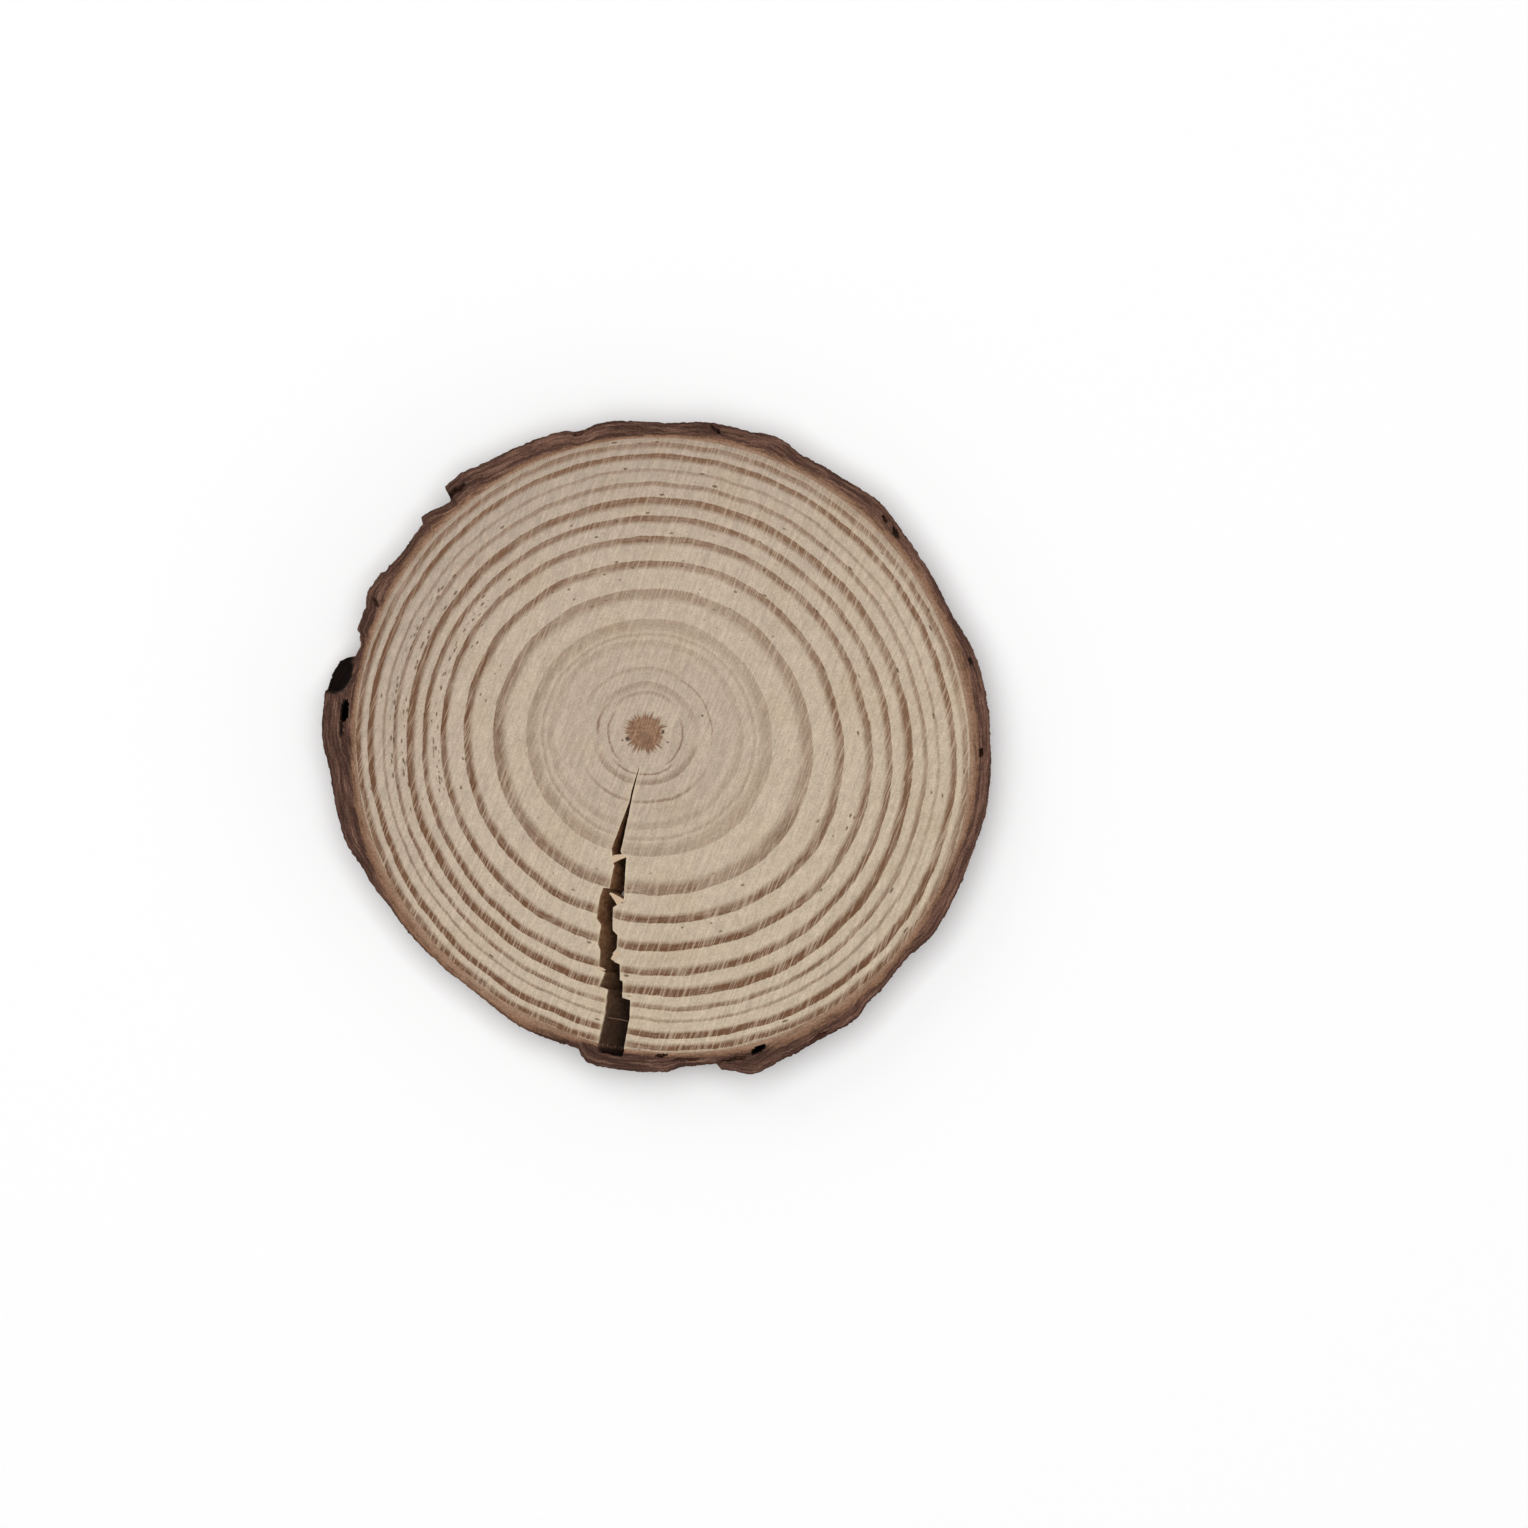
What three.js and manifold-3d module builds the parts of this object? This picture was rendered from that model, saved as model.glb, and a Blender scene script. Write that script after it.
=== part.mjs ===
// A slice sawn across a young pine stem, with its bark still on.
//
// Wood and bark grew as one piece, so the slice is one solid: a disc that follows the
// growth rings, a bark rim of uneven thickness with lifted flakes, and one drying crack
// that runs out from near the pith and stops at a strip of bark.
//
// Millimetres, +Z up. The slice lies on its sawn underside at z = 0, with the middle of
// its outline over the origin. Shapes are drawn about the pith and moved there at the end.

import * as THREE from 'three';
import { mergeVertices } from 'three/addons/utils/BufferGeometryUtils.js';
import Module from 'manifold-3d';

const wasm = await Module();
wasm.setup();

// ---- driving dimensions --------------------------------------------------------------

const THICKNESS = 10; // between the two sawn faces
const WOOD_RADIUS = 45.2; // mean radius of the last growth ring, under the bark
const OUTLINE_STEP = 2; // degrees between two points of the outline
const CUT_ALLOWANCE = 1; // how far a cutting shape passes a sawn face

// The rings are not round. Each row is [waves around the ring, share of the radius,
// degrees]: the first row pushes the rings off the pith, the next two make them oval
// and slightly three-cornered.
const RING_WAVES = [
  [1, 0.076, 45],
  [2, 0.019, 65],
  [3, 0.006, 115],
];

// Bark thickness around the slice, as [degrees, millimetres], anticlockwise. Two rows
// that are only one degree apart are the broken end of a bark plate.
const BARK = [
  [-180, 5.2], [-172, 4.1], [-161, 4.0], [-153, 2.9], [-144, 2.1], [-123, 1.5], [-112, 2.4],
  [-102, 2.2], [-101, 3.2], [-100, 3.8], [-98, 4.0], [-90, 3.8], [-87, 3.7], [-83, 2.8], [-78, 2.7],
  [-77, 3.9], [-72, 5.3], [-66, 4.3], [-60, 3.8], [-54, 3.9], [-50, 2.9], [-41, 2.1],
  [-35, 3.0], [-22, 3.0], [-11, 3.7], [12, 4.2], [22, 3.3], [31, 3.7], [36, 4.1], [45, 5.0],
  [53, 4.4], [60, 4.3], [66, 5.3], [71, 4.7], [76, 4.7], [87, 3.9], [98, 4.5], [102, 3.9],
  [106, 4.6], [119, 4.7], [126, 5.5], [129, 5.4], [130, 3.1], [136, 4.3], [137, 3.4],
  [143, 3.0], [148, 3.4], [149, 3.9], [153, 4.1], [156, 3.3], [160, 3.2], [161, 2.5],
  [163, 1.8], [165, 2.0], [166, 3.9], [167, 4.7], [171, 5.4], [180, 5.2],
];

// The crack follows the twist of the grain: over the thickness its lower edge drifts
// sideways by CRACK_LEAN at the bark, and less towards the pith. It is widest on top.
const CRACK_LEAN = 3;
const CRACK_UNDERSIDE = 0.3; // share of the gap that is left on the underside

// Stations along the crack, as [distance below the pith, left edge, right edge].
const INNER_GAP = [
  [5.0, -0.85, -0.75], [8.5, -1.95, -1.65], [10.7, -2.4, -2.15], [13.2, -3.15, -2.6],
  [16.1, -4.35, -3.2], [18.1, -5.2, -3.7], [19.2, -5.05, -4.85],
];
const OUTER_GAP = [
  [18.5, -3.3, -2.8], [19.9, -4.6, -2.95], [21.6, -4.9, -3.0], [23.6, -5.3, -3.15],
  [23.9, -6.35, -3.2], [25.4, -6.85, -3.7], [25.8, -6.95, -4.65], [28.7, -7.45, -4.95],
  [29.4, -6.8, -5.0], [30.1, -6.9, -4.0], [32.6, -7.15, -4.5], [33.2, -6.7, -4.8],
  [34.1, -6.8, -4.65], [35.0, -6.95, -3.75], [36.0, -6.1, -3.85], [36.5, -6.15, -3.2],
  [38.0, -6.9, -3.35], [38.6, -5.65, -3.4], [39.2, -5.7, -2.1], [40.6, -5.85, -2.15],
  [43.0, -6.35, -2.6], [45.2, -6.95, -3.05], [47.6, -6.8, -3.3],
];

// Gaps between layers of bark: long round holes from face to face, each as
// [x, y, length, width, degrees that its length is turned].
const BARK_HOLES = [
  [-45.1, 3.3, 3.2, 1.1, 82],
  [17.0, -47.5, 2.4, 1.0, 32],
];

// Places where the top of a lifted flake has broken away. The floor of each is this
// high above the underside.
const CHIP_FLOOR = 4;
const BIG_FLAKE_CHIP = [[-43.4, 11.3], [-45.4, 12.4], [-47.5, 9.4], [-46.3, 6.2], [-44.6, 8.4]];
const UPPER_FLAKE_CHIP = [[-25.6, 37.3], [-29.4, 37.0], [-30.6, 35.2], [-29.0, 34.6]];

// ---- helpers -------------------------------------------------------------------------

const radians = THREE.MathUtils.degToRad;

// How far a ring stands out from a circle in one direction, as a share of its radius.
function ringShape(angle) {
  return RING_WAVES.reduce(
    (sum, [waves, share, phase]) => sum + share * Math.cos(waves * angle + radians(phase)),
    1,
  );
}

// The outline of wood and bark together: between two rows of BARK the thickness changes
// smoothly, in steps of about OUTLINE_STEP.
function sliceOutline() {
  const outline = [];
  for (let row = 1; row < BARK.length; row += 1) {
    const [fromDegrees, fromBark] = BARK[row - 1];
    const [toDegrees, toBark] = BARK[row];
    const steps = Math.ceil((toDegrees - fromDegrees) / OUTLINE_STEP);
    for (let step = 0; step < steps; step += 1) {
      const share = step / steps;
      const degrees = THREE.MathUtils.lerp(fromDegrees, toDegrees, share);
      const bark = THREE.MathUtils.lerp(fromBark, toBark, THREE.MathUtils.smoothstep(share, 0, 1));
      const angle = radians(degrees);
      const radius = WOOD_RADIUS * ringShape(angle) + bark;
      outline.push(new THREE.Vector2(radius * Math.cos(angle), radius * Math.sin(angle)));
    }
  }
  return outline;
}

// The outline of one stretch of the crack: down its left edge and back up its right one.
function gapOutline(stations) {
  const left = stations.map(([below, leftEdge]) => new THREE.Vector2(leftEdge, -below));
  const right = stations.map(([below, , rightEdge]) => new THREE.Vector2(rightEdge, -below));
  return [...left, ...right.reverse()];
}

function ovalOutline([x, y, length, width, turn]) {
  const oval = new THREE.EllipseCurve(x, y, length / 2, width / 2, 0, 2 * Math.PI, false, radians(turn));
  return oval.getPoints(16).slice(0, -1);
}

// An outline pushed straight up from one height to another, as a three.js geometry.
function prism(outline, bottom, top) {
  const geometry = new THREE.ExtrudeGeometry(new THREE.Shape(outline), {
    depth: top - bottom,
    bevelEnabled: false,
  });
  return geometry.translate(0, 0, bottom);
}

// A closed geometry as a manifold-3d solid, for joining and cutting.
function solidOf(geometry) {
  geometry.deleteAttribute('normal');
  geometry.deleteAttribute('uv');
  const merged = mergeVertices(geometry);
  return new wasm.Manifold(
    new wasm.Mesh({
      numProp: 3,
      vertProperties: merged.attributes.position.array,
      triVerts: new Uint32Array(merged.index.array),
    }),
  );
}

// A manifold-3d solid back as a three.js geometry.
function geometryOf(solid) {
  const mesh = solid.getMesh();
  const geometry = new THREE.BufferGeometry();
  geometry.setAttribute('position', new THREE.BufferAttribute(mesh.vertProperties, 3));
  geometry.setIndex(new THREE.BufferAttribute(mesh.triVerts, 1));
  return geometry;
}

// ---- the cutting shapes --------------------------------------------------------------

// One stretch of the crack as a solid. Each point slides towards the middle of the gap
// and along with the lean of the grain, in step with its depth under the top face.
function crackSolid(stations) {
  const geometry = prism(gapOutline(stations), -CUT_ALLOWANCE, THICKNESS + CUT_ALLOWANCE);
  const points = geometry.attributes.position;
  for (let i = 0; i < points.count; i += 1) {
    const below = -points.getY(i);
    const station = stations.find(([distance]) => Math.abs(distance - below) < 1e-4);
    const middle = (station[1] + station[2]) / 2;
    const depth = (THICKNESS - points.getZ(i)) / THICKNESS;
    const drift = depth * CRACK_LEAN * (below / WOOD_RADIUS);
    const width = THREE.MathUtils.lerp(1, CRACK_UNDERSIDE, depth);
    points.setX(i, middle + drift + (points.getX(i) - middle) * width);
  }
  return solidOf(geometry);
}

function barkHoleSolid(hole) {
  return solidOf(prism(ovalOutline(hole), -CUT_ALLOWANCE, THICKNESS + CUT_ALLOWANCE));
}

function chipSolid(corners) {
  const outline = corners.map(([x, y]) => new THREE.Vector2(x, y));
  return solidOf(prism(outline, CHIP_FLOOR, THICKNESS + CUT_ALLOWANCE));
}

// ---- the slice -----------------------------------------------------------------------

function woodSlice() {
  const cuts = [
    crackSolid(INNER_GAP),
    crackSolid(OUTER_GAP),
    ...BARK_HOLES.map(barkHoleSolid),
    chipSolid(BIG_FLAKE_CHIP),
    chipSolid(UPPER_FLAKE_CHIP),
  ];
  const blank = solidOf(prism(sliceOutline(), 0, THICKNESS));
  const geometry = geometryOf(cuts.reduce((solid, cut) => solid.subtract(cut), blank));

  // Move the middle of the outline over the origin.
  geometry.computeBoundingBox();
  const middle = geometry.boundingBox.getCenter(new THREE.Vector3());
  geometry.translate(-middle.x, -middle.y, 0);

  const wood = new THREE.MeshStandardMaterial({
    color: 0xbea98c,
    roughness: 0.8,
    metalness: 0,
    flatShading: true,
  });
  const mesh = new THREE.Mesh(geometry, wood);
  mesh.name = 'wood_slice';
  return mesh;
}

const slice = new THREE.Group();
slice.add(woodSlice());

export default slice;
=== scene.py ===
# %% [markdown]
# # A slice of pine with its bark on
#
# Slices like this one are sawn across a young stem, dried and sold for crafts. The wood
# shows its growth rings, the bark is still on, and drying has opened one crack.
#
# The size and the outline come from a measured solid, which is loaded first. Everything
# below is worked out in millimetres about the pith, the soft heart of the stem, because
# every ring is drawn about it. It is turned into metres only when a mesh is finished.

import functools
import math

import bmesh
import bpy
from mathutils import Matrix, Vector, noise


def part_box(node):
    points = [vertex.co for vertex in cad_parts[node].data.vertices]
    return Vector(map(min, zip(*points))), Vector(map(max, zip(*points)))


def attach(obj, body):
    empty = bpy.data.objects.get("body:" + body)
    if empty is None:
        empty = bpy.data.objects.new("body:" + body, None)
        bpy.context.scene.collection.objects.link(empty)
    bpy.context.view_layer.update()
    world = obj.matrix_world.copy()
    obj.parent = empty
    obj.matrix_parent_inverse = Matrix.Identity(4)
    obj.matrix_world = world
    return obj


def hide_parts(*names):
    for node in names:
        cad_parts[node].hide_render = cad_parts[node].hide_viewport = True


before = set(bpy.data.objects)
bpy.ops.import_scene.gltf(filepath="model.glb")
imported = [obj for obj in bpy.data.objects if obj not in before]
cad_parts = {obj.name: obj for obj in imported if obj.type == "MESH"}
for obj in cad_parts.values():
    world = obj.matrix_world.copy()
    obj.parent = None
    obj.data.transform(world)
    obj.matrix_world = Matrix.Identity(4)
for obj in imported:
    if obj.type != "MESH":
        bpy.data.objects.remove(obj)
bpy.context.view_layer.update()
slice_low, slice_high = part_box("wood_slice")

MM = 0.001
THICKNESS = (slice_high.z - slice_low.z) / MM
print(f"slice: {[round(side / MM, 1) for side in slice_high - slice_low]} mm")

# %% [markdown]
# ## The shape that the stem grew in
#
# A tree adds one ring a year, and no ring is a circle. One slow wave pushes the rings
# off the pith, a second makes them oval, and a third slightly three-cornered. Writing
# the rings as one formula, and not as a drawn outline, means that the mesh, the relief
# and the colours can all follow the same growth.

# %% Ring formula
WOOD_RADIUS = 45.2
ROUND_HEART = 30.0  # rings inside this radius get rounder towards the pith
RING_WAVES = ((1, 0.076, 45), (2, 0.019, 65), (3, 0.006, 115))  # waves, share, degrees
# More waves for the rings of the young stem, and for those of the last few years.
YOUNG_WAVES = ((1, 0.010, -170), (2, 0.0145, 2), (4, 0.006, 130))
LATE_WAVES = ((1, 0.009, -70), (2, 0.005, 175))
YOUNG_FADE = (29.0, 37.0)  # the rings between which the young waves fade
LATE_RISE = (37.0, 43.0)  # and between which the late ones come on


def smooth(low, high, value):
    share = min(max((value - low) / (high - low), 0.0), 1.0)
    return share * share * (3.0 - 2.0 * share)


def mix(start, end, share):
    return start + (end - start) * share


def swell(rows, angle):
    """How far waves push a ring out in one direction, as a share of its radius."""
    return sum(share * math.cos(waves * angle + math.radians(turn)) for waves, share, turn in rows)


def ring_radius(ring, angle):
    """How far from the pith a ring lies in one direction, from its mean radius."""
    heart = smooth(0.0, ROUND_HEART, ring)
    young = heart * (1.0 - smooth(*YOUNG_FADE, ring))
    late = smooth(*LATE_RISE, ring)
    push = heart * swell(RING_WAVES, angle) + young * swell(YOUNG_WAVES, angle)
    return ring * (1.0 + push + late * swell(LATE_WAVES, angle))


def trunk_radius(angle):
    """The even line that the bark's thickness is measured from."""
    return WOOD_RADIUS * (1.0 + swell(RING_WAVES, angle))


def on_ring(radius, angle):
    return Vector((radius * math.cos(angle), radius * math.sin(angle), 0.0))


print(f"last ring: {ring_radius(WOOD_RADIUS, math.radians(-45)):.1f} mm at its widest")

# %% [markdown]
# ## How thick the bark is
#
# Bark cracks into plates as the stem swells, so its thickness changes in steps, and a
# plate's broken end stands up from the next one. The rows below are the thickness
# around the slice. Two rows one degree apart are such a broken end.
#
# The middle of the whole outline is the origin of the solid, so the outline also says
# where the pith lies.

# %% Bark thickness and the place of the pith
BARK = (
    (-180, 5.2), (-172, 4.1), (-161, 4.0), (-153, 2.9), (-144, 2.1), (-123, 1.5), (-112, 2.4),
    (-102, 2.2), (-101, 3.2), (-100, 3.8), (-98, 4.0), (-90, 3.8), (-87, 3.7), (-83, 2.8),
    (-78, 2.7), (-77, 3.9), (-72, 5.3), (-66, 4.3), (-60, 3.8), (-54, 3.9), (-50, 2.9), (-41, 2.1),
    (-35, 3.0), (-22, 3.0), (-11, 3.7), (12, 4.2), (22, 3.3), (31, 3.7), (36, 4.1), (45, 5.0),
    (53, 4.4), (60, 4.3), (66, 5.3), (71, 4.7), (76, 4.7), (87, 3.9), (98, 4.5), (102, 3.9),
    (106, 4.6), (119, 4.7), (126, 5.5), (129, 5.4), (130, 3.1), (136, 4.3), (137, 3.4),
    (143, 3.0), (148, 3.4), (149, 3.9), (153, 4.1), (156, 3.3), (160, 3.2), (161, 2.5),
    (163, 1.8), (165, 2.0), (166, 3.9), (167, 4.7), (171, 5.4), (180, 5.2),
)


def from_rows(rows, angle):
    """Reads a table of (degrees, value) rows, with a smooth change between two rows."""
    degrees = (math.degrees(angle) + 180.0) % 360.0 - 180.0
    for (start, first), (end, last) in zip(rows, rows[1:]):
        if degrees <= end:
            return mix(first, last, smooth(start, end, degrees))
    return rows[-1][1]


def bark_thickness(angle):
    return from_rows(BARK, angle)


outline = []
for degrees in range(-180, 180):
    angle = math.radians(degrees)
    outline.append(on_ring(trunk_radius(angle) + bark_thickness(angle), angle))
sideways = [point.x for point in outline]
upwards = [point.y for point in outline]
PITH = -0.5 * Vector((min(sideways) + max(sideways), min(upwards) + max(upwards), 0.0))
print(f"pith: {PITH.x:.2f}, {PITH.y:.2f} mm from the middle of the outline")

# %% [markdown]
# ## Floor, light and camera
#
# The slice lies on a pale, plain floor and is seen from straight above. A long lens held
# one metre up keeps the side of the bark out of sight. Most of the light comes from one
# very large softbox overhead, so shadows are faint. A weak white world fills them, and
# two small lamps low at the sides add just enough direction to show relief.

# %% Stage
VIEW_WIDTH = 229.2  # what the picture takes in, at the top face
CAMERA_HEIGHT = 1000.0
CAMERA_FROM_PITH = Vector((17.85, -4.65, 0.0))
SENSOR_WIDTH = 36.0
WORLD_STRENGTH = 0.22
FLOOR_REACH = 4.0  # metres from the middle of the floor to each side


def new_object(name, data):
    """An object in the scene that shows this data."""
    made = bpy.data.objects.new(name, data)
    bpy.context.scene.collection.objects.link(made)
    return made


camera_data = bpy.data.cameras.new("camera")
camera_data.sensor_width = SENSOR_WIDTH
camera_data.lens = SENSOR_WIDTH * CAMERA_HEIGHT / VIEW_WIDTH
camera = new_object("camera", camera_data)
camera.location = (PITH + CAMERA_FROM_PITH + Vector((0, 0, THICKNESS + CAMERA_HEIGHT))) * MM
bpy.context.scene.camera = camera
bpy.context.scene.view_settings.view_transform = "Standard"

world = bpy.data.worlds.new("soft_studio")
world.use_nodes = True
background = world.node_tree.nodes["Background"]
background.inputs["Color"].default_value = (1.0, 1.0, 1.0, 1.0)
background.inputs["Strength"].default_value = WORLD_STRENGTH
bpy.context.scene.world = world


def softbox(name, place, side, power):
    """A square lamp that faces the origin, in metres and watts."""
    lamp = bpy.data.lights.new(name, "AREA")
    lamp.size = side
    lamp.energy = power
    holder = new_object(name, lamp)
    holder.location = place
    holder.rotation_euler = (-Vector(place)).to_track_quat("-Z", "Y").to_euler()


softbox("overhead_softbox", place=(-0.1, 0.1, 2.4), side=2.0, power=51.8)
softbox("key_softbox", place=(-0.9, 1.0, 1.2), side=0.7, power=2.0)
softbox("fill_softbox", place=(1.2, -0.6, 0.7), side=0.9, power=1.2)

floor_mesh = bmesh.new()
bmesh.ops.create_grid(floor_mesh, x_segments=4, y_segments=4, size=FLOOR_REACH)
floor_data = bpy.data.meshes.new("floor")
floor_mesh.to_mesh(floor_data)
floor_mesh.free()
floor = new_object("floor", floor_data)

floor_paint = bpy.data.materials.new("floor_paint")
floor_paint.use_nodes = True
paint = floor_paint.node_tree.nodes["Principled BSDF"]
paint.inputs["Base Color"].default_value = (0.98, 0.98, 0.98, 1.0)
paint.inputs["Roughness"].default_value = 0.9
floor_data.materials.append(floor_paint)
print(f"camera lens: {camera_data.lens:.0f} mm")

# %% [markdown]
# ## Helpers for meshes
#
# Both the wood and the bark are made from a flat grid that is rolled up around the pith.
# `marked_sheet` makes the grid and writes on each vertex which column and row it belongs
# to. A vertex keeps those two numbers when it is extruded, so one function can later say
# where every vertex goes.

# %% Mesh helpers
SAME_PLACE = 0.004  # vertices that are closer than this are merged


def spaced(stops, step):
    """Numbers from the first stop to the last, about one step apart, that meet each stop."""
    marks = [stops[0]]
    for start, end in zip(stops, stops[1:]):
        count = max(1, round((end - start) / step))
        marks += [mix(start, end, i / count) for i in range(1, count + 1)]
    return marks


def marked_sheet(columns, rows):
    """A flat grid, with the column and the row that each vertex stands for."""
    sheet = bmesh.new()
    bmesh.ops.create_grid(sheet, x_segments=len(columns) - 1, y_segments=len(rows) - 1, size=0.5)
    column_of = sheet.verts.layers.float.new("column")
    row_of = sheet.verts.layers.float.new("row")
    for vert in sheet.verts:
        vert[column_of] = columns[round((vert.co.x + 0.5) * (len(columns) - 1))]
        vert[row_of] = rows[round((vert.co.y + 0.5) * (len(rows) - 1))]
    return sheet, column_of, row_of


def finished(shape, name, materials, sharp_degrees=35.0):
    """Turns a shape in millimetres about the pith into an object in metres."""
    bmesh.ops.recalc_face_normals(shape, faces=shape.faces[:])
    bmesh.ops.translate(shape, verts=shape.verts[:], vec=PITH)
    bmesh.ops.scale(shape, verts=shape.verts[:], vec=(MM, MM, MM))
    data = bpy.data.meshes.new(name)
    shape.to_mesh(data)
    shape.free()
    data.shade_smooth()
    data.set_sharp_from_angle(angle=math.radians(sharp_degrees))
    for material in materials:
        data.materials.append(material)
    print(f"{name}: {len(data.vertices)} vertices, {len(data.polygons)} faces")
    return new_object(name, data)


def wobble(place, size, seed=0.0):
    """Smooth noise between -1 and 1 that changes over about one size."""
    return noise.noise(place / size + Vector((seed, seed * 0.7, -seed)))


# %% [markdown]
# ## Helpers for materials
#
# Wood and bark are coloured by nodes only, so these helpers keep the node code short:
# each adds one node, joins or fills its inputs and returns its output. The node goes
# into the tree that its inputs are already in. Colours are written as they look on a
# screen, from 0 to 255, and turned into the linear values that Blender works with.

# %% Node helpers
def linear(red, green, blue):
    def channel(value):
        share = value / 255.0
        return share / 12.92 if share <= 0.04045 else ((share + 0.055) / 1.055) ** 2.4

    return (channel(red), channel(green), channel(blue), 1.0)


def tree_of(values):
    """The node tree that the first joined value belongs to."""
    return next(value.id_data for value in values if isinstance(value, bpy.types.NodeSocket))


def fill(socket, value):
    """Joins an output to a socket, or sets the socket to a fixed value."""
    if isinstance(value, bpy.types.NodeSocket):
        socket.id_data.links.new(value, socket)
    else:
        socket.default_value = value


def new_node(kind, values, sockets=None):
    """A node in the tree of the values, with its first or its named sockets filled."""
    node = tree_of(values).nodes.new("ShaderNode" + kind)
    for i, value in enumerate(values):
        fill(node.inputs[sockets[i] if sockets else i], value)
    return node


def maths(operation, *values, clamp=False):
    node = new_node("Math", values)
    node.operation = operation
    node.use_clamp = clamp
    return node.outputs[0]


def times(first, second):
    return maths("MULTIPLY", first, second)


def plus(first, second):
    return maths("ADD", first, second)


def vector_maths(operation, *values):
    node = new_node("VectorMath", values)
    node.operation = operation
    one_number = operation in ("DISTANCE", "LENGTH")
    return node.outputs["Value" if one_number else "Vector"]


def combined(x, y, z=0.0):
    return new_node("CombineXYZ", (x, y, z)).outputs[0]


def separated(vector):
    return new_node("SeparateXYZ", (vector,)).outputs


def ramp(value, low, high, start=0.0, end=1.0, smooth_step=True):
    """Goes from start to end while the value goes from low to high."""
    names = ("Value", "From Min", "From Max", "To Min", "To Max")
    node = new_node("MapRange", (value, low, high, start, end), names)
    node.interpolation_type = "SMOOTHSTEP" if smooth_step else "LINEAR"
    return node.outputs["Result"]


def blend(share, start, end, kind="MIX"):
    """A colour between two colours."""
    node = tree_of((share, start, end)).nodes.new("ShaderNodeMix")
    node.data_type = "RGBA"
    node.blend_type = kind
    for socket, value in ((0, share), (6, start), (7, end)):
        fill(node.inputs[socket], value)
    return node.outputs[2]


def shaded(tone, amount):
    """The same colour, darker where the amount is below 1 and lighter where it is above."""
    return blend(1.0, tone, amount, "MULTIPLY")


def noise_node(place, scale, detail=2.0, roughness=0.5):
    names = ("Vector", "Scale", "Detail", "Roughness")
    return new_node("TexNoise", (place, scale, detail, roughness), names)


def cloud(place, scale, detail=2.0, roughness=0.5):
    """Noise between 0 and 1. The scale is in waves per millimetre."""
    return noise_node(place, scale, detail, roughness).outputs["Fac"]


def cell(place, feature):
    """A pattern of irregular cells, one per unit of the place."""
    node = new_node("TexVoronoi", (place, 1.0), ("Vector", "Scale"))
    node.feature = feature
    return node.outputs


def mapped(place, location=(0, 0, 0), turn=0.0, scale=(1, 1, 1)):
    """A place scaled, then turned about the axis of the stem, then moved."""
    names = ("Vector", "Location", "Rotation", "Scale")
    return new_node("Mapping", (place, location, (0.0, 0.0, turn), scale), names).outputs[0]


def millimetres(tree):
    """The place of a point in millimetres from the pith."""
    place = tree.nodes.new("ShaderNodeTexCoord").outputs["Object"]
    return mapped(place, location=(-PITH.x, -PITH.y, 0.0), scale=(1 / MM, 1 / MM, 1 / MM))


def painted(tree, name):
    """A value that the mesh carries on its vertices."""
    node = tree.nodes.new("ShaderNodeAttribute")
    node.attribute_name = name
    return node.outputs["Fac"]


def reach_toward(place, x_share, y_share):
    """How far a place lies from the pith in one flat direction."""
    x, y, _ = separated(place)
    return maths("MULTIPLY_ADD", x, x_share, times(y, y_share))


def cosine_to(angle, degrees):
    """1 where the angle points this way and -1 where it points the other way."""
    return maths("COSINE", maths("SUBTRACT", angle, math.radians(degrees)))


def new_group(name, inputs, outputs):
    """An empty node group. An input is a number with this usual value, or None for a place."""
    tree = bpy.data.node_groups.new(name, "ShaderNodeTree")
    for socket_name, usual in inputs.items():
        kind = "NodeSocketVector" if usual is None else "NodeSocketFloat"
        socket = tree.interface.new_socket(socket_name, in_out="INPUT", socket_type=kind)
        if usual is not None:
            socket.default_value = usual
    for socket_name in outputs:
        tree.interface.new_socket(socket_name, in_out="OUTPUT", socket_type="NodeSocketFloat")
    given = tree.nodes.new("NodeGroupInput").outputs
    return tree, given, tree.nodes.new("NodeGroupOutput").inputs


def use_group(group, **values):
    """Adds a node group and fills the inputs that are named."""
    node = tree_of(values.values()).nodes.new("ShaderNodeGroup")
    node.node_tree = group
    for name, value in values.items():
        fill(node.inputs[name], value)
    return node.outputs


def new_material(name):
    """A material, its tree and the inputs of the Principled shader in it."""
    material = bpy.data.materials.new(name)
    material.use_nodes = True
    return material, material.node_tree, material.node_tree.nodes["Principled BSDF"].inputs


def bumped(shader, height, distance, strength=1.0):
    """Gives a shader fine relief. A height of 1 stands for a distance in millimetres."""
    names = ("Height", "Distance", "Strength")
    bump = new_node("Bump", (height, distance * MM, strength), names)
    fill(shader["Normal"], bump.outputs[0])


# %% [markdown]
# ## Growth rings as a node group
#
# The wood needs to know, at every point, which year's growth it is in. `growth` undoes
# the ring formula: it takes a place and gives back the mean radius of the ring there.
# Because it only reads the place, the rings run on through the thickness and show on the
# underside and in the crack, as they do in real wood.

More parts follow.
